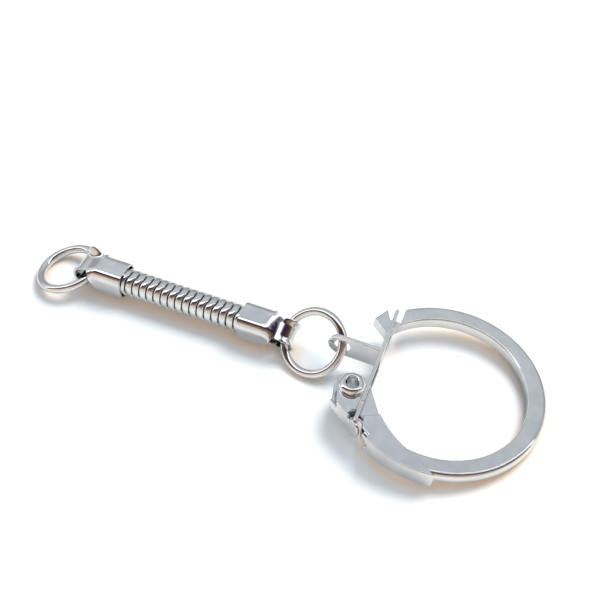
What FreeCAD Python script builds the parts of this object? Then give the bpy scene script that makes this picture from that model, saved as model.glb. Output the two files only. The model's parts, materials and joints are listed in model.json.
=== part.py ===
import FreeCAD, Part
import math
import os
import Sketcher

from FreeCAD import Placement, Rotation, Vector

# A snap-lever key ring with a short snake chain.
# Ring frame: origin at the middle of the big ring, +X away from the chain, +Y towards the
# hooked end, +Z along the ring's axis. Table frame: +Z up, the part lying on its flat side,
# origin under the middle of the big ring. The ring frame is tipped about Y in the table frame.

UP = Vector(0, 0, 1)
ACROSS = Vector(0, 1, 0)

DIMENSIONS = {
    # big ring
    "ring_outer_radius": 12.5,
    "ring_inner_radius": 10.2,
    "bar_height": 1.6,
    "bar_outer_round": 0.6,
    "bar_inner_round": 0.22,
    "gap_start_angle": 141.0,
    "held_end_angle": 234.5,
    "notch_left": -9.0,
    "notch_right": -7.6,
    "notch_floor": 7.15,
    "hook_tip_x": -9.72,
    "hook_tip_y": 8.55,
    "hook_corner_x": -10.85,
    "hook_corner_y": 6.55,
    "hook_heel_x": -8.84,
    "hook_heel_y": 4.85,
    "hook_low": 0.5,
    # sheet metal latch
    "sheet": 0.4,
    "slip": 0.03,
    "bracket_far_angle": 280.0,
    "bracket_near_angle": 238.5,
    "flange_far_radius": 10.77,
    "flange_far_angle": 264.0,
    "flange_curve": 11.7,
    "step_inner_x": -5.95,
    "step_inner_y": -7.1,
    "step_outer_x": -7.75,
    "step_outer_y": -8.1,
    "step_width": 0.42,
    "shoulder_inset": 0.3,
    "shoulder_run": 6.0,
    "eye_margin": 0.5,
    "cheek_gap": 0.22,
    "cheek_apex_x": -8.15,
    "cheek_apex_y": -3.58,
    "bite_radius": 0.62,
    "rivet_x": -10.35,
    "rivet_y": -4.55,
    "rivet_outer_radius": 1.05,
    "rivet_hole_radius": 0.72,
    "rivet_head_radius": 1.6,
    "rivet_clinch_radius": 1.27,
    "rivet_head_height": 0.86,
    "rivet_crown": 0.61,
    "rivet_lip": 0.3,
    "rivet_chamfer": 0.1,
    "lever_angle": 142.0,
    "lever_wall_outer": 12.85,
    "lobe_end": -0.15,
    "lobe_root": 1.5,
    "lobe_half": 1.2,
    "lever_wall_start": 2.15,
    "lever_wall_end": 4.2,
    "lever_strip_end": 5.6,
    "lever_cheek_radius": 2.3,
    "lever_small_cheek_radius": 2.0,
    "relief_x": -8.58,
    "relief_y": -8.62,
    "relief_radius": 1.1,
    "neck_half": 0.5,
    "plate_x": -8.45,
    "plate_thick": 0.45,
    "plate_half": 2.35,
    "plate_top": 8.3,
    "plate_slot_top": 7.75,
    "plate_slot_low": 2.75,
    "plate_fold": 1.6,
    "plate_shoulder": -6.9,
    "plate_chamfer": 0.5,
    "plate_clearance": 0.18,
    "rail_width": 0.35,
    "ear_rail_width": 0.46,
    "ear_half": 1.8,
    "axle_y": -8.65,
    "axle_half": 0.28,
    "ear_end": -9.4,
    "tab_length": 6.75,
    "tab_half": 1.7,
    "tab_hole": 4.9,
    "tab_hole_radius": 1.05,
    # small rings
    "link_ring_radius": 3.925,
    "wire_radius": 0.575,
    # end caps
    "cap_half": 2.05,
    "cap_corner": 1.2,
    "cap_bore": 1.82,
    "cap_bore_depth": 3.0,
    "cap_length": 5.5,
    "cap_front": 2.0,
    "cap_grip": 0.85,
    "loop_radius": 1.65,
    "loop_hole_radius": 1.13,
    "loop_width": 3.4,
    "wire_slack": 0.45,
    # snake chain
    "chain_radius": 1.75,
    "chain_pitch": 1.04,
    "band_length": 0.87,
    "band_wall": 0.25,
    "lip_depth": 0.53,
    "lip_thick": 0.14,
    "neck_radius": 1.02,
    "neck_bore": 0.8,
    "neck_web": 0.16,
    "flare_thick": 0.1,
    "flare_gap": 0.16,
    "flare_overlap": 0.11,
    "chain_links": 18,
    # how the part lies
    "ring_tip": 7.0,
    "connector_dip": 14.5,
    "connector_twist": 37.0,
    "connector_turn": 12.0,
    "chain_yaw": 4.5,
    "end_ring_dip": 13.9,
}

os.makedirs("parts", exist_ok=True)
doc = FreeCAD.newDocument("KeyRing")
sheet = doc.addObject("Spreadsheet::Sheet", "Size")
for row, (alias, value) in enumerate(DIMENSIONS.items(), start=1):
    sheet.set(f"A{row}", alias.replace("_", " "))
    sheet.set(f"B{row}", str(value))
    sheet.setAlias(f"B{row}", alias)
doc.recompute()


def size(alias):
    """The value of one cell of the sheet."""
    return float(sheet.get(alias))


# ---------------------------------------------------------------- places

def ring_frame():
    """The ring frame's placement: tipped until the far edge of the bar touches the table."""
    tip = math.radians(size("ring_tip"))
    lift = size("ring_outer_radius") * math.sin(tip) + size("bar_height") / 2 * math.cos(tip)
    return Placement(Vector(0, 0, lift), Rotation(ACROSS, size("ring_tip")))


def in_ring(x, y, turn=0.0):
    """A placement at a point of the ring frame, turned about the ring's axis."""
    return ring_frame() * Placement(Vector(x, y, 0), Rotation(UP, turn))


def connector_frame():
    """The connector ring: X from the tab's hole to its middle, Z along its axis."""
    dip = math.radians(size("connector_dip"))
    twist = math.radians(size("connector_twist"))
    hole = ring_frame().multVec(Vector(size("plate_x") - size("tab_hole"), size("plate_fold"), 0))
    outwards = Vector(-math.cos(dip), 0, -math.sin(dip))
    level = Vector(-math.sin(dip), 0, math.cos(dip))
    axis = level * math.cos(twist) - ACROSS * math.sin(twist)
    side = axis.cross(outwards)
    middle = hole + outwards * size("link_ring_radius")
    return Placement(middle, Rotation(outwards, side, axis, "ZXY"))


def chain_frame(roll=0.0):
    """Where the connector ring's wire runs through the near cap's loop, -X running down the
    chain; roll turns it about the chain."""
    turn = -math.radians(size("connector_turn"))
    radius = size("link_ring_radius")
    on_wire = Vector(radius * math.cos(turn), radius * math.sin(turn), 0)
    yaw = Rotation(UP, -size("chain_yaw"))
    return Placement(connector_frame().multVec(on_wire), yaw * Rotation(Vector(1, 0, 0), roll))


def loop_roll():
    """The roll that lines the near cap's hole up with the connector ring's wire."""
    turn = -math.radians(size("connector_turn"))
    along = connector_frame().Rotation.multVec(Vector(-math.sin(turn), math.cos(turn), 0))
    if along.y < 0:
        along = -along
    return math.degrees(math.atan2(along.z, along.y))


def near_loop_x():
    """Where the near cap's loop is: drawn back until its end touches the wire."""
    return -size("wire_slack")


def first_link_x():
    rim = near_loop_x() - size("cap_length")
    return rim + size("cap_grip") - size("band_length") / 2


def far_loop_x():
    last_link = first_link_x() - (size("chain_links") - 1) * size("chain_pitch")
    rim = last_link - size("band_length") / 2 + size("cap_grip")
    return rim - size("cap_length")


def end_wire_x():
    """Where the end ring's wire runs through the far cap's loop: pushed in, towards the cap."""
    return far_loop_x() + size("wire_slack")


# ---------------------------------------------------------------- sketch helpers

def new_body(name):
    body = doc.addObject("PartDesign::Body", name)
    body.Label = name
    return body


def new_sketch(body, role, name):
    plane = next(f for f in body.Origin.OriginFeatures if f.Role == role)
    sketch = body.newObject("Sketcher::SketchObject", name)
    sketch.AttachmentSupport = [(plane, "")]
    sketch.MapMode = "FlatFace"
    return sketch


def pin_axis(sketch, kind, edge, end, text):
    """Hold one coordinate of an edge's end or centre at an expression of the sheet."""
    value = float(sketch.evalExpression(text))
    index = sketch.addConstraint(Sketcher.Constraint(kind, -1, 1, edge, end, value))
    sketch.setExpression(f"Constraints[{index}]", text)


def pin_down(sketch, edge, end, x, y):
    """Hold one end of an edge at x, y, both given as expressions of the sheet."""
    pin_axis(sketch, "DistanceX", edge, end, x)
    pin_axis(sketch, "DistanceY", edge, end, y)


def outline(sketch, corners):
    """A closed outline. A corner is (x, y) or (x, y, radius): a radius bends the edge that
    ends there, anticlockwise when positive and clockwise when negative."""
    places = [Vector(*(float(sketch.evalExpression(t)) for t in c[:2]), 0) for c in corners]
    for number, corner in enumerate(corners):
        start, end = places[number - 1], places[number]
        if len(corner) == 2:
            edge = sketch.addGeometry(Part.LineSegment(start, end))
            pin_down(sketch, edge, 1, *corners[number - 1][:2])
            pin_down(sketch, edge, 2, *corner)
            continue
        radius = float(sketch.evalExpression(corner[2]))
        chord = end - start
        half_round = abs(abs(radius) - chord.Length / 2) < 1e-6
        reach = 0.0 if half_round else math.sqrt(radius**2 - chord.Length**2 / 4)
        left = UP.cross(chord).normalize()
        middle = (start + end) / 2 + left * math.copysign(reach, radius)
        first, last = (start, end) if radius > 0 else (end, start)
        angles = [math.atan2(p.y - middle.y, p.x - middle.x) for p in (first, last)]
        edge = sketch.addGeometry(Part.ArcOfCircle(Part.Circle(middle, UP, abs(radius)), *angles))
        ends = (1, 2) if radius > 0 else (2, 1)
        pin_down(sketch, edge, ends[0], *corners[number - 1][:2])
        pin_down(sketch, edge, ends[1], *corner[:2])
        if half_round:
            # both ends fix the radius, so the centre is held level with them instead
            pin_axis(sketch, "DistanceX", edge, 3, corner[0])
        else:
            index = sketch.addConstraint(Sketcher.Constraint("Radius", edge, abs(radius)))
            sketch.setExpression(f"Constraints[{index}]", f"abs({corner[2]})")


def rectangle(sketch, left, right, half):
    """A rectangle from left to right, half to each side of the sketch's X axis."""
    outline(sketch, [(left, f"-{half}"), (right, f"-{half}"), (right, half), (left, half)])


def circle(sketch, x, y, radius):
    middle = Vector(float(sketch.evalExpression(x)), float(sketch.evalExpression(y)), 0)
    value = float(sketch.evalExpression(radius))
    edge = sketch.addGeometry(Part.Circle(middle, UP, value))
    pin_down(sketch, edge, 3, x, y)
    index = sketch.addConstraint(Sketcher.Constraint("Radius", edge, value))
    sketch.setExpression(f"Constraints[{index}]", radius)


def pad(body, sketch, length, name):
    """A pad of the given total length, half to each side of the sketch."""
    feature = body.newObject("PartDesign::Pad", name)
    feature.Profile = sketch
    feature.Midplane = True
    feature.setExpression("Length", length)
    doc.recompute()
    return feature


def pad_between(body, sketch, start, end, name):
    """A pad from one height above the sketch to another, both expressions."""
    sketch.setExpression("AttachmentOffset.Base.z", start)
    feature = body.newObject("PartDesign::Pad", name)
    feature.Profile = sketch
    feature.setExpression("Length", f"({end}) - ({start})")
    doc.recompute()
    return feature


def pocket(body, sketch, length, name):
    """A cut of the given total length, half to each side of the sketch."""
    before = body.Shape.Volume
    feature = body.newObject("PartDesign::Pocket", name)
    feature.Profile = sketch
    feature.Midplane = True
    feature.setExpression("Length", length)
    doc.recompute()
    if body.Shape.Volume >= before - 1e-6:
        raise RuntimeError(f"{name} cut nothing")
    return feature


def revolve(body, sketch, axis_name, name):
    feature = body.newObject("PartDesign::Revolution", name)
    feature.Profile = sketch
    feature.ReferenceAxis = (sketch, [axis_name])
    feature.Angle = 360.0
    doc.recompute()
    return feature


# ---------------------------------------------------------------- big ring

def on_circle(radius, angle):
    """The x and y expressions of a point at a radius and an angle, both expressions."""
    return f"({radius}) * cos(({angle}) * 1 deg)", f"({radius}) * sin(({angle}) * 1 deg)"


def key_ring_bar():
    """The open ring of flat bar, rounded most at its outer edges: a full ring, less the gap and
    the notch, with a pointed hook left standing beyond the notch."""
    body = new_body("key_ring_bar")
    section = new_sketch(body, "XZ_Plane", "bar_section")
    half = "Size.bar_height / 2"
    inner, inner_round = "Size.ring_inner_radius", "Size.bar_inner_round"
    outer, outer_round = "Size.ring_outer_radius", "Size.bar_outer_round"
    outline(section, [
        (f"{inner} + {inner_round}", f"-{half}", inner_round),
        (f"{outer} - {outer_round}", f"-{half}"),
        (outer, f"{outer_round} - {half}", outer_round),
        (outer, f"{half} - {outer_round}"),
        (f"{outer} - {outer_round}", half, outer_round),
        (f"{inner} + {inner_round}", half),
        (inner, f"{half} - {inner_round}", inner_round),
        (inner, f"{inner_round} - {half}"),
    ])
    revolve(body, section, "V_Axis", "bar_ring")
    gap = new_sketch(body, "XY_Plane", "gap")
    near, far = "Size.ring_inner_radius * 0.7", "Size.ring_outer_radius * 1.3"
    outline(gap, [
        on_circle(near, "Size.gap_start_angle"),
        on_circle(far, "Size.gap_start_angle"),
        on_circle(far, "(Size.gap_start_angle + Size.held_end_angle) / 2"),
        on_circle(far, "Size.held_end_angle"),
        on_circle(near, "Size.held_end_angle"),
    ])
    pocket(body, gap, "Size.bar_height * 2", "gap_cut")
    notch = new_sketch(body, "XY_Plane", "notch")
    outline(notch, [
        ("-Size.ring_outer_radius", "Size.notch_floor"),
        ("Size.notch_right", "Size.notch_floor"),
        ("Size.notch_right", "Size.ring_outer_radius"),
        ("-Size.ring_outer_radius", "Size.ring_outer_radius"),
    ])
    pocket(body, notch, "Size.bar_height * 2", "notch_cut")
    hook = new_sketch(body, "XY_Plane", "hook")
    outline(hook, [
        ("Size.hook_tip_x", "Size.hook_tip_y"),
        ("Size.hook_corner_x", "Size.hook_corner_y"),
        ("Size.hook_heel_x", "Size.hook_heel_y"),
        on_circle("Size.ring_inner_radius", "Size.gap_start_angle - 2"),
        ("Size.notch_floor / tan((Size.gap_start_angle - 2) * 1 deg)", "Size.notch_floor"),
        ("Size.notch_left", "Size.notch_floor"),
    ])
    pad_between(body, hook, "-Size.hook_low", half, "hook_pad")
    body.Placement = in_ring(0, 0)
    return body


# ---------------------------------------------------------------- bracket and rivet

def end_bracket():
    """The channel that grips the held end of the bar. At the bar's end its flanges step in
    towards each other and run on as two cheeks to the rivet."""
    body = new_body("end_bracket")
    wall_inner = "(Size.ring_outer_radius + Size.slip)"
    wall_outer = f"({wall_inner} + Size.sheet)"
    inside_half = "(Size.bar_height / 2 + Size.slip)"
    outside_half = f"({inside_half} + Size.sheet)"
    shoulder = "(Size.ring_outer_radius - Size.shoulder_inset)"
    flanges = new_sketch(body, "XY_Plane", "flanges")
    step_inner = ("Size.step_inner_x", "Size.step_inner_y")
    step_outer = ("Size.step_outer_x", "Size.step_outer_y")
    outline(flanges, [
        on_circle("Size.flange_far_radius", "Size.flange_far_angle"),
        (*step_inner, "-Size.flange_curve"),
        step_outer,
        on_circle(shoulder, "Size.bracket_near_angle - Size.shoulder_run"),
        (*on_circle(shoulder, "Size.bracket_near_angle"), shoulder),
        on_circle(wall_outer, "Size.bracket_near_angle"),
        (*on_circle(wall_outer, "Size.bracket_far_angle"), wall_outer),
    ])
    pad(body, flanges, f"{outside_half} * 2", "flange_block")
    hollow = new_sketch(body, "XY_Plane", "hollow")
    circle(hollow, "0", "0", wall_inner)
    pocket(body, hollow, f"{inside_half} * 2", "bar_space")
    run = "(Size.step_inner_x - Size.step_outer_x)"
    rise = "(Size.step_inner_y - Size.step_outer_y)"
    share = f"Size.step_width / sqrt({run} ^ 2 + {rise} ^ 2)"
    riser_inner = (f"Size.step_inner_x + {rise} * {share}", f"Size.step_inner_y - {run} * {share}")
    riser_outer = (f"Size.step_outer_x + {rise} * {share}", f"Size.step_outer_y - {run} * {share}")
    reach = "(Size.rivet_outer_radius + Size.eye_margin)"
    cheek_top = "(Size.cheek_gap + Size.sheet)"
    riser_top = f"({inside_half} + 0.1)"
    for side, sign in (("upper", 1), ("lower", -1)):
        riser = new_sketch(body, "XY_Plane", f"{side}_riser")
        outline(riser, [riser_inner, step_inner, step_outer, riser_outer])
        cheek = new_sketch(body, "XY_Plane", f"{side}_cheek")
        outline(cheek, [
            riser_inner,
            step_inner,
            ("Size.cheek_apex_x", "Size.cheek_apex_y"),
            (f"Size.rivet_x + {reach} * cos(80)", f"Size.rivet_y + {reach} * sin(80)"),
            (f"Size.rivet_x - {reach} * cos(50)", f"Size.rivet_y - {reach} * sin(50)", reach),
            step_outer,
            riser_outer,
        ])
        if sign > 0:
            pad_between(body, riser, "Size.cheek_gap", riser_top, f"{side}_riser_pad")
            pad_between(body, cheek, "Size.cheek_gap", cheek_top, f"{side}_cheek_pad")
        else:
            pad_between(body, riser, f"-{riser_top}", "-Size.cheek_gap", f"{side}_riser_pad")
            pad_between(body, cheek, f"-{cheek_top}", "-Size.cheek_gap", f"{side}_cheek_pad")
    eye = new_sketch(body, "XY_Plane", "rivet_eye")
    circle(eye, "Size.rivet_x", "Size.rivet_y", "Size.rivet_outer_radius + Size.slip")
    pocket(body, eye, "Size.bar_height * 4", "rivet_eye_cut")
    bite = new_sketch(body, "XZ_Plane", "wall_bite")
    bite_x, bite_y = on_circle(wall_outer, "Size.bracket_near_angle - 1.5")
    circle(bite, bite_x, "0", "Size.bite_radius")
    bite.setExpression("AttachmentOffset.Base.z", f"-({bite_y})")
    pocket(body, bite, "Size.bite_radius * 3", "wall_bite_cut")
    body.Placement = in_ring(0, 0)
    return body


CHEEK_INSIDE = "(Size.cheek_gap + Size.sheet + Size.slip)"
CHEEK_OUTSIDE = f"({CHEEK_INSIDE} + Size.sheet)"


def hollow_rivet():
    """The eyelet: a tube with a tall rolled crest above and a low clinched rim below."""
    body = new_body("hollow_rivet")
    section = new_sketch(body, "XZ_Plane", "rivet_section")
    under = f"({CHEEK_OUTSIDE} + Size.slip)"
    crest = f"({under} + Size.rivet_head_height)"
    clinch = f"({under} + Size.rivet_head_height / 2)"
    lip = "(Size.rivet_hole_radius + Size.rivet_lip)"
    outline(section, [
        ("Size.rivet_hole_radius", f"-{clinch} + Size.rivet_chamfer"),
        (lip, f"-{clinch}"),
        ("Size.rivet_clinch_radius", f"-{clinch}"),
        ("Size.rivet_head_radius - Size.rivet_chamfer", f"-{under}"),
        ("Size.rivet_outer_radius", f"-{under}"),
        ("Size.rivet_outer_radius", under),
        ("Size.rivet_head_radius", under),
        ("Size.rivet_head_radius", f"{crest} - Size.rivet_crown"),
        (lip, crest, "Size.rivet_crown"),
        ("Size.rivet_hole_radius", f"{crest} - Size.rivet_lip", "Size.rivet_lip"),
    ])
    revolve(body, section, "V_Axis", "rivet_turn")
    body.Placement = in_ring(size("rivet_x"), size("rivet_y"))
    return body


# ---------------------------------------------------------------- lever

def in_lever(x, y):
    """The expressions of a point of the ring frame in the lever's own frame, whose X runs
    along its wall away from the lobe and whose Y points out of the ring."""
    along = f"({x}) * cos(Size.lever_angle) + ({y}) * sin(Size.lever_angle)"
    outwards = f"({y}) * cos(Size.lever_angle) - ({x}) * sin(Size.lever_angle)"
    return along, outwards


def lever_cheek(body, name, radius, wall_end, start):
    """One cheek: an eye round the rivet, a straight edge beside the cross plate, and a fold
    into the wall."""
    rivet_along, rivet_out = in_lever("Size.rivet_x", "Size.rivet_y")
    beside = "(Size.plate_x - Size.plate_thick / 2 - Size.plate_clearance)"
    rise = f"sqrt({radius} ^ 2 - ({beside} - Size.rivet_x) ^ 2)"
    sketch = new_sketch(body, "XY_Plane", name)
    outline(sketch, [
        ("Size.lever_wall_start", "Size.lever_wall_outer"),
        (wall_end, "Size.lever_wall_outer"),
        (f"{rivet_along} + {radius} * cos(22)", f"{rivet_out} + {radius} * sin(22)"),
        (*in_lever(beside, f"Size.rivet_y + {rise}"), f"-{radius}"),
        in_lever(beside, "Size.relief_y + 0.3"),
    ])
    pad_between(body, sketch, start, f"{start} + Size.sheet", f"{name}_pad")


def half_of_wall(sign):
    """The lower (-1) or upper (1) side of the lobe and neck, from the lobe's end onwards."""
    turn, root_turn = "(Size.lobe_half * 0.7)", "(Size.lobe_half * 0.25)"
    side = "-" if sign < 0 else ""
    inwards = "+" if sign < 0 else "-"
    return [
        ("Size.lobe_end", f"{side}Size.lobe_half {inwards} {turn}"),
        (f"Size.lobe_end + {turn}", f"{side}Size.lobe_half", turn),
        (f"Size.lobe_root - {root_turn}", f"{side}Size.lobe_half"),
        ("Size.lobe_root", f"{side}Size.lobe_half {inwards} {root_turn}", root_turn),
        ("Size.lobe_root", f"{side}Size.neck_half"),
        ("Size.lever_wall_start", f"{side}Size.neck_half"),
    ]


def backwards(corners):
    """The same outline run the other way: each radius moves to the other end of its edge."""
    radii = [corner[2:] for corner in corners[1:]] + [()]
    return [(*corner[:2], *radius) for corner, radius in zip(corners[::-1], [()] + radii[-2::-1])]


def lock_lever():
    """The over-centre lever: a wall with a finger lobe and a waisted neck, folded into two
    cheeks that turn on the rivet."""
    body = new_body("lock_lever")
    rivet_along, rivet_out = in_lever("Size.rivet_x", "Size.rivet_y")
    wall = new_sketch(body, "XZ_Plane", "lever_wall")
    top = CHEEK_OUTSIDE
    strip_turn, strip_top = "(Size.sheet * 1.1)", "-0.1"
    outline(wall, [
        *half_of_wall(-1),
        ("Size.lever_wall_start", f"-{top}"),
        (f"Size.lever_strip_end - {strip_turn}", f"-{top}"),
        ("Size.lever_strip_end", f"-{top} + {strip_turn}", strip_turn),
        ("Size.lever_strip_end", strip_top),
        ("Size.lever_wall_end", strip_top),
        ("Size.lever_wall_end", top),
        ("Size.lever_wall_start", top),
        *backwards(half_of_wall(1)),
    ])
    pad_between(body, wall, "-Size.lever_wall_outer", "-Size.lever_wall_outer + Size.sheet", "wall_pad")
    lever_cheek(body, "upper_lever_cheek", "Size.lever_small_cheek_radius", "Size.lever_wall_end",
                CHEEK_INSIDE)
    lever_cheek(body, "lower_lever_cheek", "Size.lever_cheek_radius", "Size.lever_strip_end - 0.5",
                f"-{CHEEK_OUTSIDE}")
    relief_along, relief_out = in_lever("Size.relief_x", "Size.relief_y")
    wall_inner = "(Size.lever_wall_outer - Size.sheet)"
    opening = f"sqrt(Size.relief_radius ^ 2 - ({wall_inner} - ({relief_out})) ^ 2)"
    for side, middle in (("upper", 1), ("lower", -1)):
        relief = new_sketch(body, "XY_Plane", f"{side}_relief")
        outline(relief, [
            (f"{relief_along} - {opening}", wall_inner),
            (relief_along, f"{relief_out} - Size.relief_radius", "Size.relief_radius"),
            (f"{relief_along} + {opening}", wall_inner, "Size.relief_radius"),
        ])
        relief.setExpression("AttachmentOffset.Base.z", f"{middle} * (Size.neck_half + 1)")
        pocket(body, relief, "2", f"{side}_relief_cut")
    eye = new_sketch(body, "XY_Plane", "lever_eye")
    circle(eye, rivet_along, rivet_out, "Size.rivet_outer_radius + Size.slip")
    pocket(body, eye, "Size.bar_height * 4", "lever_eye_cut")
    body.Placement = in_ring(0, 0, size("lever_angle"))
    return body


# ---------------------------------------------------------------- cross plate

def cross_plate():
    """The upright strip that closes the gap: slotted over the hook, with a round-ended tab
    folded out of its window towards the chain. The window's foot is an axle bar that turns in
    the lever's two reliefs, and the strip's ears stand out past them."""
    body = new_body("cross_plate")
    half = "Size.plate_half"
    strip = new_sketch(body, "YZ_Plane", "strip")
    outline(strip, [
        ("Size.ear_end", "-Size.ear_half"),
        ("Size.plate_shoulder - 0.35", "-Size.ear_half"),
        ("Size.plate_shoulder", f"-{half}"),
        ("Size.plate_top - Size.plate_chamfer", f"-{half}"),
        ("Size.plate_top", f"-{half} + Size.plate_chamfer"),
        ("Size.plate_top", f"{half} - Size.plate_chamfer"),
        ("Size.plate_top - Size.plate_chamfer", half),
        ("Size.plate_shoulder", half),
        ("Size.plate_shoulder - 0.35", "Size.ear_half"),
        ("Size.ear_end", "Size.ear_half"),
    ])
    pad(body, strip, "Size.plate_thick", "strip_pad")
    slot_half = "(Size.bar_height / 2 + Size.plate_clearance)"
    slot = new_sketch(body, "YZ_Plane", "hook_slot")
    rectangle(slot, "Size.plate_slot_low", "Size.plate_slot_top", slot_half)
    pocket(body, slot, "Size.plate_thick * 2", "hook_slot_cut")
    wide, narrow = "(Size.plate_half - Size.rail_width)", "(Size.ear_half - Size.ear_rail_width)"
    window_low = "Size.axle_y + Size.axle_half"
    window = new_sketch(body, "YZ_Plane", "window")
    outline(window, [
        ("Size.plate_fold - Size.plate_thick / 2", f"-{wide}"),
        ("Size.plate_fold - Size.plate_thick / 2", wide),
        ("Size.plate_shoulder + 0.4", wide),
        ("Size.plate_shoulder + 0.1", narrow),
        (window_low, narrow),
        (window_low, f"-{narrow}"),
        ("Size.plate_shoulder + 0.1", f"-{narrow}"),
        ("Size.plate_shoulder + 0.4", f"-{wide}"),
    ])
    pocket(body, window, "Size.plate_thick * 2", "window_cut")
    foot = new_sketch(body, "YZ_Plane", "foot")
    rectangle(foot, "Size.ear_end - 1", "Size.axle_y - Size.axle_half", narrow)
    pocket(body, foot, "Size.plate_thick * 2", "foot_cut")
    tab = new_sketch(body, "XZ_Plane", "tab")
    outline(tab, [
        ("Size.plate_thick / 2", "-Size.tab_half"),
        ("Size.plate_thick / 2", "Size.tab_half"),
        ("Size.tab_half - Size.tab_length", "Size.tab_half"),
        ("Size.tab_half - Size.tab_length", "-Size.tab_half", "Size.tab_half"),
    ])
    pad_between(body, tab, "-Size.plate_fold - Size.plate_thick / 2",
                "-Size.plate_fold + Size.plate_thick / 2", "tab_pad")
    hole = new_sketch(body, "XZ_Plane", "tab_hole")
    circle(hole, "-Size.tab_hole", "0", "Size.tab_hole_radius")
    pocket(body, hole, "Size.plate_fold * 4", "tab_hole_cut")
    body.Placement = in_ring(size("plate_x"), 0)
    return body


# ---------------------------------------------------------------- small rings, caps and chain

def wire_ring(name, placement):
    ring = doc.addObject("Part::Torus", name)
    ring.Label = name
    ring.setExpression("Radius1", "Size.link_ring_radius")
    ring.setExpression("Radius2", "Size.wire_radius")
    ring.Placement = placement
    return ring


def end_ring_frame():
    """The end ring: from the far cap's loop hole down to the table."""
    dip = math.radians(size("end_ring_dip"))
    outwards = Vector(-math.cos(dip), 0, -math.sin(dip))
    hole = chain_frame().multVec(Vector(end_wire_x(), 0, 0))
    middle = hole + outwards * size("link_ring_radius")
    return Placement(middle, Rotation(outwards, ACROSS, Vector(0, 0, 1), "XYZ"))


def end_cap(name, placement):
    """A squarish tube folded from sheet and closed round the chain's end, with a rolled loop
    on its front. The loop's middle is the origin, its hole is along Y and flares at both ends
    to clear a ring's bent wire, and the tube's mouth faces -X."""
    body = new_body(name)
    half, turn = "Size.cap_half", "Size.cap_corner"
    section = new_sketch(body, "YZ_Plane", "tube_section")
    outline(section, [
        (half, f"{turn} - {half}", turn),
        (half, f"{half} - {turn}"),
        (f"{half} - {turn}", half, turn),
        (f"{turn} - {half}", half),
        (f"-{half}", f"{half} - {turn}", turn),
        (f"-{half}", f"{turn} - {half}"),
        (f"{turn} - {half}", f"-{half}", turn),
        (f"{half} - {turn}", f"-{half}"),
    ])
    pad_between(body, section, "-Size.cap_length", "-Size.cap_front", "tube_pad")
    bore = new_sketch(body, "YZ_Plane", "bore")
    circle(bore, "0", "0", "Size.cap_bore")
    bore.setExpression("AttachmentOffset.Base.z", "-Size.cap_length")
    pocket(body, bore, "Size.cap_bore_depth * 2", "bore_cut")
    loop = new_sketch(body, "XZ_Plane", "loop")
    root = "(-Size.cap_front - 0.2)"
    outline(loop, [
        (root, "-Size.loop_radius"),
        ("0", "-Size.loop_radius"),
        ("0", "Size.loop_radius", "Size.loop_radius"),
        (root, "Size.loop_radius"),
    ])
    pad(body, loop, "Size.loop_width", "loop_pad")
    hole = new_sketch(body, "XZ_Plane", "loop_hole")
    circle(hole, "0", "0", "Size.loop_hole_radius")
    pocket(body, hole, "Size.loop_width * 2", "loop_hole_cut")
    flare = new_sketch(body, "XY_Plane", "loop_flare")
    bend = "(Size.link_ring_radius - Size.wire_radius - 0.06)"
    side = "(Size.loop_width / 2 + 0.01)"
    mouth = f"Size.link_ring_radius - sqrt({bend} ^ 2 - {side} ^ 2)"
    outline(flare, [
        ("0", f"-{side}"),
        (mouth, f"-{side}"),
        (mouth, side, f"-{bend}"),
        ("0", side),
    ])
    flare.setExpression("AttachmentOffset.Base.x", "Size.wire_slack")
    before = body.Shape.Volume
    groove = body.newObject("PartDesign::Groove", "loop_flare_cut")
    groove.Profile = flare
    groove.ReferenceAxis = (flare, ["V_Axis"])
    groove.Angle = 360.0
    doc.recompute()
    if body.Shape.Volume >= before - 1e-6:
        raise RuntimeError(f"the flare of {name} cut nothing")
    body.Placement = placement
    return body


def chain_link(number):
    """One snake-chain link: a short band with an inward lip on its near side, and on its far
    side a neck whose flare is caught behind the next link's lip."""
    name = f"chain_link_{number:02d}"
    body = new_body(name)
    half = "(Size.band_length / 2)"
    inside = "(Size.chain_radius - Size.band_wall)"
    lip = "(Size.chain_radius - Size.lip_depth)"
    lip_back = f"({half} - Size.lip_thick)"
    web = f"(-{half} + Size.neck_web)"
    flare_front = f"({lip_back} - Size.chain_pitch - Size.flare_gap)"
    flare_back = f"({flare_front} - Size.flare_thick)"
    flare = f"({lip} + Size.flare_overlap)"
    section = new_sketch(body, "XZ_Plane", "link_section")
    outline(section, [
        (f"-{half}", "Size.chain_radius"),
        (half, "Size.chain_radius"),
        (half, lip),
        (lip_back, lip),
        (lip_back, inside),
        (web, inside),
        (web, "Size.neck_bore"),
        (flare_back, "Size.neck_bore"),
        (flare_back, flare),
        (flare_front, flare),
        (flare_front, "Size.neck_radius"),
        (f"-{half}", "Size.neck_radius"),
    ])
    revolve(body, section, "H_Axis", "link_turn")
    along = Vector(first_link_x() - (number - 1) * size("chain_pitch"), 0, 0)
    body.Placement = chain_frame() * Placement(along, Rotation())
    return body


# ---------------------------------------------------------------- the whole part

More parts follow.
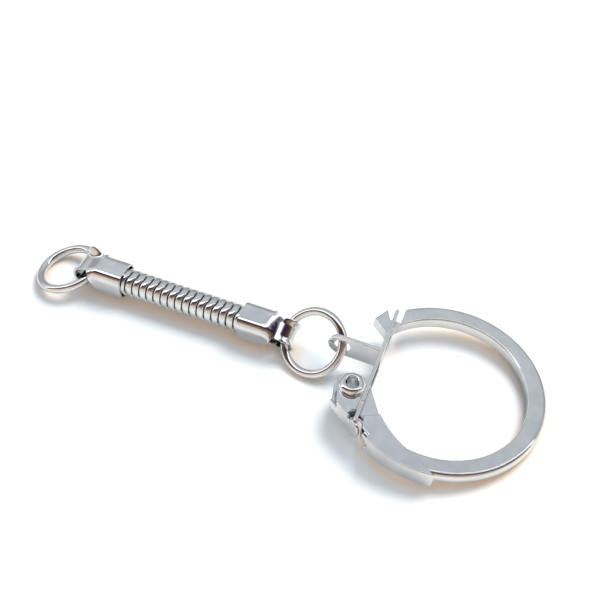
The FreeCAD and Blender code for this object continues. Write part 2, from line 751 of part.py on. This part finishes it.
def main():
    near_cap_place = Placement(Vector(near_loop_x(), 0, 0), Rotation())
    far_cap_place = Placement(Vector(far_loop_x(), 0, 0), Rotation(UP, 180))
    subparts = [
        key_ring_bar(),
        end_bracket(),
        hollow_rivet(),
        lock_lever(),
        cross_plate(),
        wire_ring("connector_ring", connector_frame()),
        end_cap("near_end_cap", chain_frame(loop_roll()) * near_cap_place),
        end_cap("far_end_cap", chain_frame() * far_cap_place),
        wire_ring("end_ring", end_ring_frame()),
    ]
    links = int(size("chain_links"))
    subparts += [chain_link(number) for number in range(1, links + 1)]
    doc.recompute()
    for item in doc.Objects:
        if {"Invalid", "Error"} & set(item.State):
            raise RuntimeError(f"{item.Label} failed: {item.State}")
    for item in subparts:
        shape = item.Shape
        if shape.isNull() or not shape.isValid() or len(shape.Solids) != 1:
            raise RuntimeError(f"{item.Label} has a bad shape: {len(shape.Solids)} solids")
        shape.exportStep(f"parts/{item.Label}.step")
        print(item.Label, round(shape.Volume, 3))


main()
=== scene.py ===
import json
import math

import bmesh
import bpy
from mathutils import Matrix, Vector
from mathutils.bvhtree import BVHTree

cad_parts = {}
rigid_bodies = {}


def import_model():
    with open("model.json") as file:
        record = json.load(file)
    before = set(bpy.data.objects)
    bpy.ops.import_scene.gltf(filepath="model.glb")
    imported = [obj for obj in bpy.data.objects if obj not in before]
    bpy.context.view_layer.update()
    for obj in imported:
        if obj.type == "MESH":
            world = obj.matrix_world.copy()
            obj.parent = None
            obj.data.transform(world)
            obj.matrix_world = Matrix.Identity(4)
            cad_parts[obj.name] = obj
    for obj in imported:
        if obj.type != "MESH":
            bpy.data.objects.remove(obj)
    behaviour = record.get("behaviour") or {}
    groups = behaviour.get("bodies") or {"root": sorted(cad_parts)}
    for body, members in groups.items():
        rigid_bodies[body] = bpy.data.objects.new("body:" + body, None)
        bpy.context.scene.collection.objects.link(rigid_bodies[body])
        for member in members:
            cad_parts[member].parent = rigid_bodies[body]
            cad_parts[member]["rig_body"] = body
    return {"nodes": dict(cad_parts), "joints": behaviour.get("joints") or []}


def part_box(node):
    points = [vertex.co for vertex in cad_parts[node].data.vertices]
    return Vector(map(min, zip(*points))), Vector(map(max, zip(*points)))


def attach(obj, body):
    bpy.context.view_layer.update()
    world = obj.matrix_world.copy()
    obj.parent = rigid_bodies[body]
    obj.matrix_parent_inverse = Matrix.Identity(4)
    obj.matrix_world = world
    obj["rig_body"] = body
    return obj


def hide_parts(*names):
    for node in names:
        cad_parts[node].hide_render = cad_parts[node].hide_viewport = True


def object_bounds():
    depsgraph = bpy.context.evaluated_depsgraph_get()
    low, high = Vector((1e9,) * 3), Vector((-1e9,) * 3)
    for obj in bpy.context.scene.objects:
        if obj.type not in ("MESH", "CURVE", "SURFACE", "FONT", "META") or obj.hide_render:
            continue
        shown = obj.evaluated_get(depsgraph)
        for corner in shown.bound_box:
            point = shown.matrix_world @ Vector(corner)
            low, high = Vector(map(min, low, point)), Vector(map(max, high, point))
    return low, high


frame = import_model()
cad_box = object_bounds()
joints = {joint["name"]: joint for joint in frame["joints"]}

MM = 0.001
UP = Vector((0, 0, 1))

FLOOR_REACH = 1.5

# The camera looks at a point on the table from the front right, held with a slight roll.
CAMERA_AIM = Vector((-21.28, 8.55, 2.0)) * MM
CAMERA_DISTANCE = 154.87 * MM
CAMERA_AZIMUTH = math.radians(20.42)
CAMERA_ELEVATION = math.radians(48.28)
CAMERA_ROLL = math.radians(-1.42)
CAMERA_LENS = 72.0
CAMERA_SIDE = Vector((math.sin(CAMERA_AZIMUTH), -math.cos(CAMERA_AZIMUTH), 0))

# The folded caps, in millimetres in each cap's own frame: X out of the cap through its loop,
# Z through the tongue, and the loop's middle at the origin. Each side of a cap is given as where
# the tube is cut away along X, the loop's half width, and the ear. The pairs are the stretches of X
# over which the tongue drops to the loop, the ears rise and the tube's turn is undone.
SHEET = 0.3
RIM_ROUND = 0.07
TUBE_HALF = 2.05
TUBE_CORNER = 1.2
TUBE_MOUTH = -5.5
TUBE_SEAM_GAP = 0.05
LOOP_RADIUS = 1.65
LOOP_BEHIND_WIRE = 0.45
NECK_HALF = 1.42
TONGUE_DROP = (-1.8, -0.1)
EAR_START = (-2.2, -0.9)
TUBE_UNTURN = (-2.6, -0.2)
ROLL_TURN = math.radians(285)
ROLL_CLOSING = 0.04
SHARE_STEPS = 60
TUBE_STEPS = 90
ROLL_STEPS = 44
SECTION_STEPS = 48

# The chain's bands, in millimetres.
BAND_RADIUS = 1.72
BAND_LENGTH = 0.94
BAND_SQUARENESS = 2.35
BAND_WAVE = 0.1
BAND_WAVE_STEEPNESS = 5.0
BAND_WAVE_TURN = math.radians(54)
BAND_SIDES = 96
SLEEVE_RADIUS = 1.42

# The wire rings' butt seams: depth as a share of the wire's radius, width in millimetres.
SEAM_DEPTH = 0.14
SEAM_WIDTH = 0.05

# Edges that turn more than SHARP_ANGLE are rounded. Where edges stay as cut, those that turn more
# than CREASE_ANGLE are shaded sharp.
SHARP_ANGLE = math.radians(30)
CREASE_ANGLE = math.radians(50)
FLAT_ANGLE = math.radians(0.3)
WELD = 0.0002
BEVEL_SEGMENTS = 4
BEVEL_STRAY = 0.4
FLAT_WEIGHT = 90


# ---------------------------------------------------------------- node helpers

class Graph:
    """A few short calls for wiring up a node tree."""

    def __init__(self, tree):
        self.tree = tree

    def add(self, kind, **settings):
        node = self.tree.nodes.new(kind)
        for name, value in settings.items():
            setattr(node, name, value)
        return node

    def link(self, output, socket):
        self.tree.links.new(output, socket)

    def fill(self, socket, value):
        if isinstance(value, bpy.types.NodeSocket):
            self.link(value, socket)
        else:
            socket.default_value = value

    def math(self, operation, *values, clamp=False):
        node = self.add("ShaderNodeMath", operation=operation, use_clamp=clamp)
        for socket, value in zip(node.inputs, values):
            self.fill(socket, value)
        return node.outputs[0]

    def dot(self, a, b):
        node = self.add("ShaderNodeVectorMath", operation="DOT_PRODUCT")
        self.fill(node.inputs[0], a)
        self.fill(node.inputs[1], b)
        return node.outputs["Value"]

    def stretch(self, vector, scale):
        node = self.add("ShaderNodeVectorMath", operation="MULTIPLY")
        self.fill(node.inputs[0], vector)
        self.fill(node.inputs[1], scale)
        return node.outputs[0]

    def noise(self, vector, scale, detail=2.0, roughness=0.5):
        node = self.add("ShaderNodeTexNoise")
        self.fill(node.inputs["Vector"], vector)
        node.inputs["Scale"].default_value = scale
        node.inputs["Detail"].default_value = detail
        node.inputs["Roughness"].default_value = roughness
        return node.outputs["Fac"]

    def remap(self, value, low, high, to_low=0.0, to_high=1.0):
        node = self.add("ShaderNodeMapRange")
        for socket, number in zip(node.inputs, (value, low, high, to_low, to_high)):
            self.fill(socket, number)
        return node.outputs[0]

    def ramp(self, value, stops):
        node = self.add("ShaderNodeValToRGB")
        elements = node.color_ramp.elements
        while len(elements) < len(stops):
            elements.new(0.5)
        for element, (place, colour) in zip(elements, stops):
            element.position = place
            element.color = (*colour, 1)
        self.fill(node.inputs["Fac"], value)
        return node.outputs["Color"]

    def mix(self, factor, a, b):
        node = self.add("ShaderNodeMix", data_type="RGBA")
        self.fill(node.inputs["Factor"], factor)
        for socket, value in ((node.inputs[6], a), (node.inputs[7], b)):
            self.fill(socket, value if isinstance(value, bpy.types.NodeSocket) else (*value, 1))
        return node.outputs[2]


def plated(name, tint, roughness, edge, grain=(1, 1, 1), wear=1.0):
    """Bright nickel plating over stamped steel. The tint drifts a little, fine polishing marks run
    the way grain is short, hairline scratches cross it, and edges are rounded over edge millimetres
    and rubbed duller there."""
    material = bpy.data.materials.new(name)
    material.use_nodes = True
    graph = Graph(material.node_tree)
    shader = material.node_tree.nodes["Principled BSDF"]
    place = graph.stretch(graph.add("ShaderNodeTexCoord").outputs["Object"], (1 / MM,) * 3)

    drift = graph.noise(place, 0.45, detail=3)
    marks = graph.noise(graph.stretch(place, grain), 9.0, detail=4, roughness=0.7)
    smears = graph.noise(place, 1.7, detail=5, roughness=0.6)
    hairline_place = graph.stretch(place, (0.25, 2.4, 1.2))
    hairlines = graph.remap(graph.noise(hairline_place, 5.5, detail=1), 0.7, 0.76)
    pits = graph.remap(graph.noise(place, 16.0, detail=1), 0.74, 0.8)

    bevel = graph.add("ShaderNodeBevel", samples=6)
    bevel.inputs["Radius"].default_value = edge * MM
    flat = graph.add("ShaderNodeNewGeometry").outputs["Normal"]
    rubbed = graph.remap(graph.dot(bevel.outputs[0], flat), 0.995, 0.86, 0, 0.6 * wear)

    dark = tuple(channel * 0.9 for channel in tint)
    worn = (tint[0] * 1.04, tint[1] * 1.03, tint[2] * 1.0)
    colour = graph.mix(graph.remap(drift, 0.35, 0.65), dark, tint)
    graph.link(graph.mix(rubbed, colour, worn), shader.inputs["Base Color"])

    shine = graph.remap(smears, 0.3, 0.7, roughness * 0.7, roughness * 1.5)
    scuffed = graph.math("MULTIPLY_ADD", hairlines, 0.1 * wear, shine)
    graph.link(graph.math("MULTIPLY_ADD", rubbed, 0.12, scuffed), shader.inputs["Roughness"])
    shader.inputs["Metallic"].default_value = 1

    relief = graph.math("MULTIPLY_ADD", hairlines, -0.3 * wear, marks)
    relief = graph.math("MULTIPLY_ADD", pits, -0.5 * wear, relief)
    relief = graph.math("MULTIPLY_ADD", smears, 1.4, relief)
    bump = graph.add("ShaderNodeBump")
    bump.inputs["Strength"].default_value = 0.16
    bump.inputs["Distance"].default_value = 0.012 * MM
    graph.link(relief, bump.inputs["Height"])
    graph.link(bevel.outputs[0], bump.inputs["Normal"])
    graph.link(bump.outputs[0], shader.inputs["Normal"])
    return material


def recess(name):
    """Painted shade for the gaps between the chain's bands: dull, nearly black steel, mottled a
    little.
    """
    material = bpy.data.materials.new(name)
    material.use_nodes = True
    graph = Graph(material.node_tree)
    shader = material.node_tree.nodes["Principled BSDF"]
    place = graph.stretch(graph.add("ShaderNodeTexCoord").outputs["Object"], (1 / MM,) * 3)
    shade_mottle = graph.noise(place, 3.0, detail=4)
    # Painted shade: the gaps are coloured near black in place of the shade that falls between the
    # bands.
    colour = graph.mix(shade_mottle, (0.03, 0.027, 0.025), (0.1, 0.09, 0.085))
    graph.link(colour, shader.inputs["Base Color"])
    graph.link(graph.remap(shade_mottle, 0.3, 0.7, 0.35, 0.55), shader.inputs["Roughness"])
    shader.inputs["Metallic"].default_value = 0.8
    return material


def paper(name):
    """Matt white card with a faint mottle, and a painted warm glow where metal stands close over
    it, in place of light thrown back off the metal. The metal sees it a shade darker than the
    camera does, so that its sides keep their tone."""
    material = bpy.data.materials.new(name)
    material.use_nodes = True
    graph = Graph(material.node_tree)
    shader = material.node_tree.nodes["Principled BSDF"]
    place = graph.stretch(graph.add("ShaderNodeTexCoord").outputs["Object"], (1 / MM,) * 3)
    mottle = graph.noise(place, 0.02, detail=3)
    card = graph.mix(mottle, (0.87, 0.87, 0.865), (0.9, 0.9, 0.9))
    # Painted warm light: the card is tinted orange where metal stands close over it, in place of
    # light thrown back off the metal.
    painted_glow_occlusion = graph.add("ShaderNodeAmbientOcclusion", samples=8)
    painted_glow_occlusion.inputs["Distance"].default_value = 3.0 * MM
    near = graph.remap(painted_glow_occlusion.outputs["AO"], 0.45, 0.85, 1.0, 0.0)
    card = graph.mix(near, card, (0.86, 0.66, 0.52))
    mirrored = graph.add("ShaderNodeLightPath").outputs["Is Glossy Ray"]
    card = graph.mix(mirrored, card, (0.82, 0.8, 0.765))
    graph.link(card, shader.inputs["Base Color"])
    graph.link(graph.remap(mottle, 0, 1, 0.75, 0.9), shader.inputs["Roughness"])
    shader.inputs["Specular IOR Level"].default_value = 0.2
    return material


# ---------------------------------------------------------------- mesh helpers

def new_piece(name, mesh, materials, node):
    """A finished mesh in the row frame, shown in place of a CAD node and riding on its body."""
    piece = bpy.data.objects.new(name, mesh)
    bpy.context.scene.collection.objects.link(piece)
    for material in materials:
        mesh.materials.append(material)
    mesh.shade_smooth()
    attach(piece, frame["nodes"][node]["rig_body"])
    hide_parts(node)
    return piece


def grid_faces(bm, rows, closed_across=False, closed_along=False, material=0):
    """Quads between the rows of vertices."""
    last_row = len(rows) if closed_along else len(rows) - 1
    for i in range(last_row):
        near, far = rows[i], rows[(i + 1) % len(rows)]
        last = len(near) if closed_across else len(near) - 1
        for j in range(last):
            k = (j + 1) % len(near)
            face = bm.faces.new((near[j], near[k], far[k], far[j]))
            face.material_index = material


def to_mesh(bm, name):
    mesh = bpy.data.meshes.new(name)
    bm.normal_update()
    bm.to_mesh(mesh)
    bm.free()
    return mesh


def smooth_step(value, low, high):
    t = min(1.0, max(0.0, (value - low) / (high - low)))
    return t * t * (3 - 2 * t)


def cad_surface(node):
    """A CAD node's own surface, joined up and with its flat faces whole."""
    bm = bmesh.new()
    bm.from_mesh(frame["nodes"][node].data)
    for face in bm.faces:
        face.material_index = 0
    bmesh.ops.remove_doubles(bm, verts=bm.verts, dist=WELD * MM)
    bmesh.ops.dissolve_limit(bm, angle_limit=FLAT_ANGLE, verts=bm.verts, edges=bm.edges)
    return bm


def with_flat_faces(piece):
    """Shading that keeps a piece's broad faces flat."""
    normals = piece.modifiers.new("flat_faces", "WEIGHTED_NORMAL")
    normals.weight = FLAT_WEIGHT
    normals.keep_sharp = True
    return piece


def as_cut(node, material):
    """A CAD node's own shape, its sharp edges kept and its rounded ones shaded smooth."""
    bm = cad_surface(node)
    for edge in bm.edges:
        edge.smooth = edge.calc_face_angle() < CREASE_ANGLE
    return with_flat_faces(new_piece(node + "_plated", to_mesh(bm, node), [material], node))


def softened(node, width, material):
    """A CAD node's own shape with its sharp edges rounded over width millimetres."""
    bm = cad_surface(node)
    surface = BVHTree.FromBMesh(bm)
    weight = bm.edges.layers.float.new("bevel_weight_edge")
    for edge in bm.edges:
        edge[weight] = float(edge.calc_face_angle() > SHARP_ANGLE)
    shape = bpy.data.objects.new(node + "_shape", to_mesh(bm, node))
    bpy.context.scene.collection.objects.link(shape)
    rounding = shape.modifiers.new("rounded_edges", "BEVEL")
    rounding.limit_method = "WEIGHT"
    rounding.width = width * MM
    rounding.segments = BEVEL_SEGMENTS
    rounding.use_clamp_overlap = False
    rounded = shape.evaluated_get(bpy.context.evaluated_depsgraph_get())
    mesh = bpy.data.meshes.new_from_object(rounded)
    bpy.data.objects.remove(shape)
    # Corners where the rounding has no room, further off the surface than BEVEL_STRAY widths, are
    # laid back on it.
    for vertex in mesh.vertices:
        nearest, _, _, off = surface.find_nearest(vertex.co)
        if off > BEVEL_STRAY * width * MM:
            vertex.co = nearest
    return with_flat_faces(new_piece(node + "_plated", mesh, [material], node))


# ---------------------------------------------------------------- wire rings

def wire_ring(node, joint, seam_turn):
    """A ring bent from round wire, its ends butted together seam_turn round from the joint."""
    low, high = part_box(node)
    middle = (low + high) / 2
    spoke = Vector(joint["pos_m"]) - middle
    radius = spoke.length
    axis = spoke.cross(Vector(joint["axis"])).normalized()
    wire = (high.z - low.z) / 2 - radius * math.sqrt(1 - axis.z ** 2)
    spoke = Matrix.Rotation(seam_turn, 3, axis) @ spoke.normalized()
    side = axis.cross(spoke)

    steps, around = 220, 40
    bm = bmesh.new()
    rows = []
    for i in range(steps):
        # The steps crowd together round the seam, at turn 0.
        t = 2 * i / steps - 1
        turn = math.pi * (0.35 * t + 0.65 * t ** 5)
        off_seam = radius * turn
        groove = 1 - SEAM_DEPTH * math.exp(-((off_seam / (SEAM_WIDTH * MM)) ** 2))
        out = spoke * math.cos(turn) + side * math.sin(turn)
        centre = middle + out * radius
        rows.append([
            bm.verts.new(centre + (out * math.cos(a) + axis * math.sin(a)) * wire * groove)
            for a in (2 * math.pi * j / around for j in range(around))
        ])
    grid_faces(bm, rows, closed_across=True, closed_along=True)
    bmesh.ops.recalc_face_normals(bm, faces=bm.faces)
    return to_mesh(bm, node)


# ---------------------------------------------------------------- end caps

def tube_bend(arc):
    """How far the tube's section has turned, arc millimetres round from its top's middle."""
    straight = TUBE_HALF - TUBE_CORNER
    corner = TUBE_CORNER * math.pi / 2
    turn = 0.0
    for corner_start in (straight, 3 * straight + corner):
        turn += min(1.0, max(0.0, (arc - corner_start) / corner)) * math.pi / 2
    return turn


def section_point(length, curl):
    """Where the sheet gets to, length millimetres round from the tube's top, as (y, z) from there.
    curl bends it round the tube's section, 1 closing the tube and 0 leaving it flat."""
    step = abs(length) / SECTION_STEPS
    y = z = 0.0
    for i in range(SECTION_STEPS):
        turn = curl * tube_bend((i + 0.5) * step)
        y += math.cos(turn) * step
        z -= math.sin(turn) * step
    return math.copysign(y, length), z


def tongue_side(x, side):
    """The half width and the curl of one side of the sheet, x along the cap. The tube is whole
    behind side's cut; the tongue is at its narrowest after it."""
    full = 4 * (TUBE_HALF - TUBE_CORNER) + math.pi * TUBE_CORNER - TUBE_SEAM_GAP
    start, end = side["cut"]
    half = full - (full - NECK_HALF) * smooth_step(x, start, end)
    half += (side["loop_half"] - half) * smooth_step(x, end - 0.3, 0)
    return half, 1 - smooth_step(x, (start + end) / 2, min(0.0, end + 0.3))


def cap_sheet(name, place, tube_turn, sides):
    """A cap cut from one piece of sheet: folded round the chain into a squarish tube, cut away
    underneath, then narrowed to a tongue that is rolled down and back into a loop. The tube may be
    turned a little about the chain against its loop. Each side of the tongue flares out in an ear,
    given as (height in mm, where round the roll it peaks, how far it spreads before, and after)."""
    across = [2 * j / SHARE_STEPS - 1 for j in range(SHARE_STEPS + 1)]
    bm = bmesh.new()
    rows = []

    def flare(share, turn):
        height, peak, before, after = sides[share > 0]["ear"]
        edge = smooth_step(abs(share), 0.45, 1.0)
        spread = before if turn < peak else after
        return height * edge * math.exp(-((turn - peak) / spread) ** 2)

    def add_row(points, turned=0.0):
        c, s = math.cos(turned), math.sin(turned)
        rows.append([
            bm.verts.new(place @ (Vector((x, y * c - z * s, y * s + z * c)) * MM))
            for x, y, z in points
        ])

    for i in range(TUBE_STEPS):
        x = TUBE_MOUTH * (1 - i / TUBE_STEPS)
        top = TUBE_HALF - (TUBE_HALF - LOOP_RADIUS) * smooth_step(x, *TONGUE_DROP)
        points = []
        for share in across:
            half, curl = tongue_side(x, sides[share > 0])
            y, z = section_point(share * half, curl)
            lift = smooth_step(x, *EAR_START) * flare(share, x / LOOP_RADIUS)
            points.append((x, y, top + z + lift))
        add_row(points, tube_turn * (1 - smooth_step(x, *TUBE_UNTURN)))
    for i in range(ROLL_STEPS + 1):
        turn = ROLL_TURN * i / ROLL_STEPS
        points = []
        for share in across:
            radius = LOOP_RADIUS - ROLL_CLOSING * i / ROLL_STEPS + flare(share, turn)
            y = share * sides[share > 0]["loop_half"]
            points.append((radius * math.sin(turn), y, radius * math.cos(turn)))
        add_row(points)
    grid_faces(bm, rows)
    bmesh.ops.recalc_face_normals(bm, faces=bm.faces)
    return to_mesh(bm, name)


def end_cap(node, joint, outward, along, loop_turn, tube_turn, sides, material):
    """One cap; outward points away from the chain, and along runs along the loop's hole."""
    up = outward.cross(along).normalized()
    turn = Matrix((outward, up.cross(outward), up)).transposed()
    turn = turn @ Matrix.Rotation(loop_turn, 3, "X")
    middle = Vector(joint["pos_m"]) - chain_dir * LOOP_BEHIND_WIRE * MM
    place = Matrix.Translation(middle) @ turn.to_4x4()
    mesh = cap_sheet(node, place, tube_turn, sides)
    piece = new_piece(node + "_sheet", mesh, [material], node)
    wall = piece.modifiers.new("sheet", "SOLIDIFY")
    wall.thickness = SHEET * MM
    wall.offset = -1
    wall.use_even_offset = True
    wall.use_quality_normals = True
    rim = piece.modifiers.new("rounded_rim", "BEVEL")
    rim.width = RIM_ROUND * MM
    rim.segments = 3
    rim.limit_method = "ANGLE"
    rim.angle_limit = CREASE_ANGLE
    return piece


# ---------------------------------------------------------------- chain

def band(node):
    """One band of the chain: a barrel rolled slightly square, with wavy edges that nest in its
    neighbours' and a sleeve coloured in painted shade showing between them."""
    number = int(node[-2:])
    place = chain_start - chain_dir * pitch * (number - 1)
    across = chain_dir.cross(UP)
    half = BAND_LENGTH / 2
    outline = [
        (-half + 0.06, SLEEVE_RADIUS - 0.02), (-half + 0.02, BAND_RADIUS - 0.2),
        (-half + 0.03, BAND_RADIUS - 0.1), (-half + 0.1, BAND_RADIUS - 0.03),
        (-half + 0.24, BAND_RADIUS), (0.0, BAND_RADIUS + 0.015), (half - 0.24, BAND_RADIUS),
        (half - 0.1, BAND_RADIUS - 0.03), (half - 0.03, BAND_RADIUS - 0.1),
        (half - 0.02, BAND_RADIUS - 0.2), (half - 0.06, SLEEVE_RADIUS - 0.02),
    ]
    sleeve = [
        (-half - 0.3, SLEEVE_RADIUS - 0.03), (-half - 0.3, SLEEVE_RADIUS - 0.2),
        (half - 0.06, SLEEVE_RADIUS - 0.2),
    ]
    bm = bmesh.new()

    def ring(x, radius):
        verts = []
        for j in range(BAND_SIDES):
            a = 2 * math.pi * j / BAND_SIDES
            c, s = math.cos(a), math.sin(a)
            power = BAND_SQUARENESS
            squared = (abs(c) ** power + abs(s) ** power) ** (-1 / power)
            wave = BAND_WAVE * math.tanh(BAND_WAVE_STEEPNESS * math.cos(2 * a + BAND_WAVE_TURN))
            point = place + chain_dir * (x + wave) * MM
            verts.append(bm.verts.new(point + (UP * c + across * s) * radius * squared * MM))
        return verts

    rows = [ring(x, radius) for x, radius in outline]
    grid_faces(bm, rows, closed_across=True)
    # The sleeve between the bands carries the painted shade of the chain's gaps.
    dark = [rows[0]] + [ring(x, radius) for x, radius in sleeve] + [rows[-1]]
    grid_faces(bm, dark, closed_across=True, material=1)
    bmesh.ops.recalc_face_normals(bm, faces=bm.faces)
    mesh = to_mesh(bm, node)
    return new_piece(node + "_band", mesh, [chain_metal, gap_shade_metal], node)


# ---------------------------------------------------------------- materials

ring_metal = plated("ring_nickel_plate", (0.74, 0.74, 0.735), 0.07, 0.3, grain=(1, 1, 0.15))
stamped_metal = plated("latch_nickel_plate", (0.75, 0.745, 0.755), 0.08, 0.14, grain=(1, 1, 0.2))
rivet_metal = plated("rivet_nickel_plate", (0.74, 0.74, 0.75), 0.06, 0.12, wear=0.6)
wire_metal = plated("wire_nickel_plate", (0.74, 0.735, 0.73), 0.07, 0.02, grain=(0.4, 0.4, 1.5))
cap_metal = plated("cap_nickel_plate", (0.74, 0.74, 0.74), 0.06, 0.02, grain=(0.06, 1, 1))
chain_metal = plated("chain_nickel_plate", (0.74, 0.74, 0.74), 0.08, 0.02, wear=0.7)
# Painted shade for the chain's gaps, worn by the sleeves between the bands.
gap_shade_metal = recess("chain_gap_painted_shade")

# ---------------------------------------------------------------- pieces

bends = [joints[name] for name in sorted(joints) if "bend" in name]
bends.sort(key=lambda joint: joint["name"][-2:])
first_bend, last_bend = Vector(bends[0]["pos_m"]), Vector(bends[-1]["pos_m"])
pitch = (first_bend - last_bend).length / (len(bends) - 1)
chain_dir = (first_bend - last_bend).normalized()
chain_start = first_bend

as_cut("key_ring_bar", ring_metal)
softened("end_bracket", 0.13, stamped_metal)
softened("lock_lever", 0.11, stamped_metal)
softened("cross_plate", 0.1, stamped_metal)
softened("hollow_rivet", 0.08, rivet_metal)

connector = wire_ring("connector_ring", joints["near_cap_swing"], math.radians(18))
new_piece("connector_ring_wire", connector, [wire_metal], "connector_ring")
end_ring = wire_ring("end_ring", joints["end_ring_swing"], math.radians(-16))
new_piece("end_ring_wire", end_ring, [wire_metal], "end_ring")

near_along = -Vector(joints["near_cap_swing"]["axis"])
near_sides = (
    {"cut": (-2.9, -0.2), "loop_half": 1.6, "ear": (0.5, 1.7, 0.9, 0.9)},
    {"cut": (-2.6, -1.1), "loop_half": 1.5, "ear": (0.3, 1.2, 1.0, 1.0)},
)
end_cap("near_end_cap", joints["near_cap_swing"], chain_dir, near_along, math.radians(-18),
        math.radians(-14), near_sides, cap_metal)
far_along = -Vector(joints["end_ring_swing"]["axis"])
far_sides = (
    {"cut": (-2.9, -1.6), "loop_half": 1.72, "ear": (1.1, 0.1, 0.75, 0.35)},
    {"cut": (-2.9, -0.2), "loop_half": 1.55, "ear": (0.12, 1.2, 0.8, 0.8)},
)
end_cap("far_end_cap", joints["end_ring_swing"], -chain_dir, far_along, 0.0, 0.0, far_sides,
        cap_metal)

for node in sorted(frame["nodes"]):
    if node.startswith("chain_link"):
        band(node)

# ---------------------------------------------------------------- floor, light and camera

floor_mesh = bpy.data.meshes.new("floor")
ground = cad_box[0].z
corners = [(-1, -1), (1, -1), (1, 1), (-1, 1)]
floor_mesh.from_pydata(
    [(x * FLOOR_REACH, y * FLOOR_REACH, ground) for x, y in corners], [], [(0, 1, 2, 3)])
floor_mesh.materials.append(paper("white_card"))
floor = bpy.data.objects.new("floor", floor_mesh)
bpy.context.scene.collection.objects.link(floor)


def area_light(name, position, aim, width, energy, colour):
    lamp = bpy.data.lights.new(name, "AREA")
    lamp.shape = "DISK"
    lamp.size = width
    lamp.energy = energy
    lamp.color = colour
    holder = bpy.data.objects.new(name, lamp)
    holder.location = position
    holder.rotation_euler = (aim - position).to_track_quat("-Z", "Y").to_euler()
    holder.visible_glossy = False
    bpy.context.scene.collection.objects.link(holder)


area_light("key_softbox", Vector((0.16, 0.28, 0.45)), CAMERA_AIM, 0.36, 3.5, (1.0, 0.97, 0.93))
area_light("warm_fill", Vector((0.22, -0.3, 0.14)), CAMERA_AIM, 0.2, 0.8, (1.0, 0.72, 0.5))


def studio_world():
    """A cool, even sky for diffuse light, and for reflections a ring of soft boxes and dark room:
    the stops run from the horizon behind the object, over the top, to the horizon at the camera."""
    world = bpy.data.worlds.new("studio")
    bpy.context.scene.world = world
    world.use_nodes = True
    graph = Graph(world.node_tree)
    background = world.node_tree.nodes["Background"]
    towards = graph.add("ShaderNodeTexCoord").outputs["Generated"]
    height = graph.dot(towards, tuple(UP))
    behind = graph.dot(towards, tuple(-CAMERA_SIDE))
    over = graph.math("DIVIDE", graph.math("ARCTAN2", height, behind), math.pi)
    across = graph.dot(towards, tuple(CAMERA_SIDE.cross(UP)))
    ripple = graph.noise(graph.stretch(towards, (2.0, 2.0, 2.0)), 1.3, detail=2)
    place = graph.math("ADD", over, graph.remap(ripple, 0.3, 0.7, -0.03, 0.03))
    room = graph.ramp(place, [
        (0.0, (0.6, 0.57, 0.54)),
        (0.1, (0.42, 0.42, 0.44)),
        (0.2, (0.6, 0.63, 0.67)),
        (0.3, (0.78, 0.84, 0.9)),
        (0.4, (0.55, 0.6, 0.66)),
        (0.43, (2.2, 2.25, 2.3)),
        (0.49, (2.2, 2.25, 2.3)),
        (0.52, (0.45, 0.45, 0.5)),
        (0.56, (0.03, 0.02, 0.05)),
        (0.61, (0.07, 0.045, 0.045)),
        (0.67, (0.25, 0.155, 0.11)),
        (0.77, (0.42, 0.29, 0.22)),
        (0.82, (0.8, 0.72, 0.64)),
        (1.0, (0.9, 0.85, 0.8)),
    ])
    shade = graph.remap(across, -1, 1, 0.75, 1.15)
    scale = graph.add("ShaderNodeVectorMath", operation="SCALE")
    graph.link(room, scale.inputs[0])
    graph.link(shade, scale.inputs["Scale"])
    path = graph.add("ShaderNodeLightPath")
    seen = graph.mix(path.outputs["Is Glossy Ray"], (0.42, 0.56, 0.68), scale.outputs[0])
    seen = graph.mix(path.outputs["Is Camera Ray"], seen, (1.0, 1.0, 1.0))
    graph.link(seen, background.inputs["Color"])


studio_world()

camera_data = bpy.data.cameras.new("camera")
camera_data.lens = CAMERA_LENS
camera_data.sensor_width = 36.0
camera_data.clip_start = 0.005
camera_data.clip_end = 10.0
camera = bpy.data.objects.new("camera", camera_data)
bpy.context.scene.collection.objects.link(camera)
level = CAMERA_SIDE * math.cos(CAMERA_ELEVATION)
camera.location = CAMERA_AIM + (level + UP * math.sin(CAMERA_ELEVATION)) * CAMERA_DISTANCE
facing = (CAMERA_AIM - camera.location).to_track_quat("-Z", "Y").to_matrix()
camera.rotation_euler = (facing @ Matrix.Rotation(CAMERA_ROLL, 3, "Z")).to_euler()
bpy.context.scene.camera = camera
bpy.context.scene.view_settings.view_transform = "Standard"
